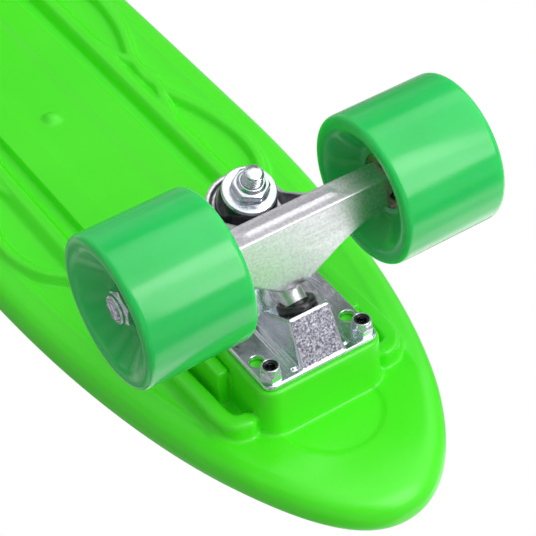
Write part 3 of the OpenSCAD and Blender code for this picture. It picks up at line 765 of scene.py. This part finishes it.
def bolt_heads():
    """Countersunk heads with a cross recess, flush with the deck's top."""
    top = TOP_Z - AXLE_Z

    def field(x, y, z):
        r = np.hypot(x, y)
        head = smooth_max(r - 4.8, (r - 4.9 - z) * 0.72, 0.4)
        head = smooth_max(head, z, 0.5)
        head = smooth_max(head, -3 - z, 0.3)
        for a, b in ((x, y), (y, x)):
            slot = np.maximum(np.abs(a) - 2.5, np.abs(b) - 0.55)
            head = smooth_max(head, -np.maximum(slot, -1.6 - z), 0.2)
        return head

    points, faces = mesh_field(field, (-5.4, -5.4, -3.6), (5.4, 5.4, 0.6), 0.3)
    return [(points + (x, side * BOLT_Y, top - 0.1), faces) for x in BOLT_XS for side in (-1, 1)]


def roughen_tower(plate, end):
    """The front of the tower keeps its rough casting skin; the rest of the plate is bright."""
    plate.data.materials.append(bpy.data.materials["rough_plate"])
    front = Vector((OUTWARD[end] * 0.90, 0, -0.43)).normalized()
    low = (AXLE_Z + FACE_H - 18) * MM
    high = (AXLE_Z + FACE_H - 0.5) * MM
    for face in plate.data.polygons:
        centre = face.center
        if face.normal.dot(front) > 0.985 and low < centre.z < high and abs(centre.y) < 0.0086:
            face.material_index = 1


def make_bushings(end):
    road_h, board_h = 11.0, 14.0
    road = lathe(filleted([(4.2, 0.6, 0), (8.6, 0.6, 0.8), (10.9, 2.6, 1.2), (12, 7.5, 3),
                           (11.9, road_h + 1.0, 0.9), (11.0, road_h + 2.1, 0.5),
                           (7.6, road_h + 2.1, 0), (7.6, road_h + 3.4, 0.3),
                           (4.2, road_h + 3.4, 0)][::-1]))
    points = np.asarray(road[0]) * (1, 1, -1)
    piece = truck_piece("road_bushing_soft", on_kingpin(points, ROAD_WASHER_S), road[1][:, ::-1],
                        end, None, ["road_bushing"], "black_urethane")
    blend_along(piece)
    board = lathe(filleted([(4.2, -1.4, 0), (7.6, -1.4, 0.3), (7.6, 0, 0), (11.2, 0, 1.2),
                            (12, 2.5, 2), (12.3, board_h / 2, 4), (12, board_h - 2.5, 2),
                            (10.6, board_h, 1.2), (4.2, board_h, 0)]))
    points = np.asarray(board[0]) * (1, 1, -1)
    piece = truck_piece("board_bushing_soft", on_kingpin(points, RING_BACK_S), board[1][:, ::-1],
                        end, None, ["board_bushing"], "black_urethane")
    blend_along(piece)


def blend_along(piece):
    """A real bushing keeps to its washer at one end and turns with the hanger's ring at the other; this only bakes
    the bushing's place into its mesh, on no body.
    """
    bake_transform(piece)


def make_hanger(end):
    body = f"{end}_truck"
    points, faces = mesh_field(hanger_field, (-48, -43, -8), (10, 43, 43), 0.7)
    truck_piece("hanger_casting", points, faces, end, body, ["hanger"], "cast_aluminium")
    axle_end = box_mm(f"{end}_axle")[1][1]
    nut_y = axle_end - 1 - 6.2
    thread_y = nut_y - 8
    rods, nuts = [], []
    nut = lock_nut(13, 4.4, 5.7, 1.8, 4.0)
    points, faces = thread(3.95, 1.0, thread_y, axle_end, 0.8)
    for side in (-1, 1):
        rods.append((placed(points, (0, 0, 0), (0, side, 0)), faces))
        nuts.append((placed(nut[0], (0, side * nut_y, 0), (0, side, 0)), nut[1]))
    rod = lathe([(0.1, -thread_y), (3.98, -thread_y), (3.98, thread_y), (0.1, thread_y)], 48)
    rods.append((placed(rod[0], (0, 0, 0), (0, 1, 0)), rod[1]))
    truck_piece("axle_rod", *joined(*rods), end, body, ["axle"], "zinc_plate")
    truck_piece("axle_lock_nuts", *joined(*nuts), end, body, ["axle_nuts"], "zinc_plate")


# ---------------------------------------------------------------- wheels


def wheel_profile(half_w, r):
    """Half of the wheel's section as (radius, distance from the middle plane, fillet)."""
    return [(9.5, 5.0, 0), (11, 5.0, 0), (11, 12.4, 0.4), (14.0, 12.8, 1.6), (19.0, 17.4, 5.0),
            (24.4, half_w, 4.5), (r, half_w, 4.4)]


def make_wheel(end, side):
    node = f"{end}_{side}_wheel"
    low, high = box_mm(node)
    centre = (low + high) / 2
    half = wheel_profile((high[1] - low[1]) / 2, (high[2] - low[2]) / 2)
    other = [(r, -z, f) for r, z, f in reversed(half)]
    points, faces = lathe(filleted(half + other, 8), 160)
    hand_in(f"{node}_tyre", placed(points, centre, (0, 1, 0)), faces, node, [node],
            "wheel_urethane")


# ---------------------------------------------------------------- camera, light and floor

CAMERA_PLACE = Vector((0.675644, 0.289856, -0.471144))
CAMERA_RIGHT = Vector((0.551036, -0.833339, 0.043660))
CAMERA_FORWARD = Vector((-0.620255, -0.374013, 0.689492))
LENS_MM, SENSOR_MM = 137.609, 36


def make_camera():
    data = bpy.data.cameras.new("camera")
    data.lens = LENS_MM
    data.sensor_width = SENSOR_MM
    data.clip_start = 0.05
    camera = bpy.data.objects.new("camera", data)
    back = -CAMERA_FORWARD.normalized()
    right = (CAMERA_RIGHT - back * CAMERA_RIGHT.dot(back)).normalized()
    turn = Matrix((right, back.cross(right), back)).transposed()
    camera.matrix_world = Matrix.Translation(CAMERA_PLACE) @ turn.to_4x4()
    bpy.context.scene.collection.objects.link(camera)
    bpy.context.scene.camera = camera


def softbox(name, target, toward, distance, width, height, power):
    data = bpy.data.lights.new(name, "AREA")
    data.shape = "RECTANGLE"
    data.size = width
    data.size_y = height
    data.energy = power
    light = bpy.data.objects.new(name, data)
    toward = Vector(toward).normalized()
    turn = toward.to_track_quat("Z", "Y").to_matrix()
    light.matrix_world = Matrix.Translation(Vector(target) + toward * distance) @ turn.to_4x4()
    bpy.context.scene.collection.objects.link(light)


def make_world(strength):
    """A white backdrop that lights the board in soft patches, so that metal has something to show."""
    world = bpy.data.worlds.new("studio")
    world.use_nodes = True
    tree = world.node_tree
    shown = tree.nodes["Background"]
    shown.inputs["Color"].default_value = (1, 1, 1, 1)
    patches = tree.nodes.new("ShaderNodeTexNoise")
    patches.inputs["Scale"].default_value = 2.6
    patches.inputs["Detail"].default_value = 1.0
    ramp = tree.nodes.new("ShaderNodeMapRange")
    ramp.inputs["From Min"].default_value = 0.40
    ramp.inputs["From Max"].default_value = 0.60
    ramp.inputs["To Min"].default_value = 0.40 * strength
    ramp.inputs["To Max"].default_value = 1.60 * strength
    tree.links.new(patches.outputs["Fac"], ramp.inputs["Value"])
    light = tree.nodes.new("ShaderNodeBackground")
    light.inputs["Color"].default_value = (1, 1, 1, 1)
    tree.links.new(ramp.outputs[0], light.inputs["Strength"])
    path = tree.nodes.new("ShaderNodeLightPath")
    mix = tree.nodes.new("ShaderNodeMixShader")
    tree.links.new(path.outputs["Is Camera Ray"], mix.inputs[0])
    tree.links.new(light.outputs[0], mix.inputs[1])
    tree.links.new(shown.outputs[0], mix.inputs[2])
    tree.links.new(mix.outputs[0], tree.nodes["World Output"].inputs["Surface"])
    bpy.context.scene.world = world


def make_floor():
    """A pale sheet that shows its upper side only, so that the board is seen from below it."""
    half = 30.0
    mesh = bpy.data.meshes.new("floor")
    mesh.from_pydata([(-half, -half, 0), (half, -half, 0), (half, half, 0), (-half, half, 0)], [],
                     [(0, 1, 2, 3)])
    floor = bpy.data.objects.new("floor", mesh)
    bpy.context.scene.collection.objects.link(floor)
    s = Shader("floor_paper", Roughness=0.7)
    s.into("Base Color", s.mixed(s.remap(s.noise(3, 2), 0, 1), (0.80, 0.80, 0.80),
                                 (0.82, 0.82, 0.82)))
    below = s.node("ShaderNodeNewGeometry").outputs["Backfacing"]
    clear = s.node("ShaderNodeBsdfTransparent").outputs[0]
    mix = s.node("ShaderNodeMixShader", {0: below, 1: s.bsdf.outputs[0], 2: clear})
    s.tree.links.new(mix.outputs[0], s.tree.nodes["Material Output"].inputs["Surface"])
    mesh.materials.append(s.material)
    for ray in ("diffuse", "glossy", "transmission", "shadow"):
        setattr(floor, f"visible_{ray}", False)


def make_lights():
    truck = (0.20, 0, 0.05)
    softbox("window", truck, (0.72, -0.36, -0.58), 1.1, 0.55, 0.95, 5.5)
    softbox("below_key", truck, (0.10, -0.45, -1.0), 2.2, 3.2, 3.2, 36)
    softbox("above_key", (0, 0, 0.1), (0.3, -0.4, 1.0), 2.2, 3.0, 3.0, 26)


bpy.context.scene.view_settings.view_transform = "Standard"
make_materials()
dress_cad_nodes()
make_camera()
make_world(0.44)
make_floor()
make_lights()
make_deck()
for end in ENDS:
    make_fixed_truck(end)
    make_hanger(end)
    for side in SIDES:
        make_wheel(end, side)
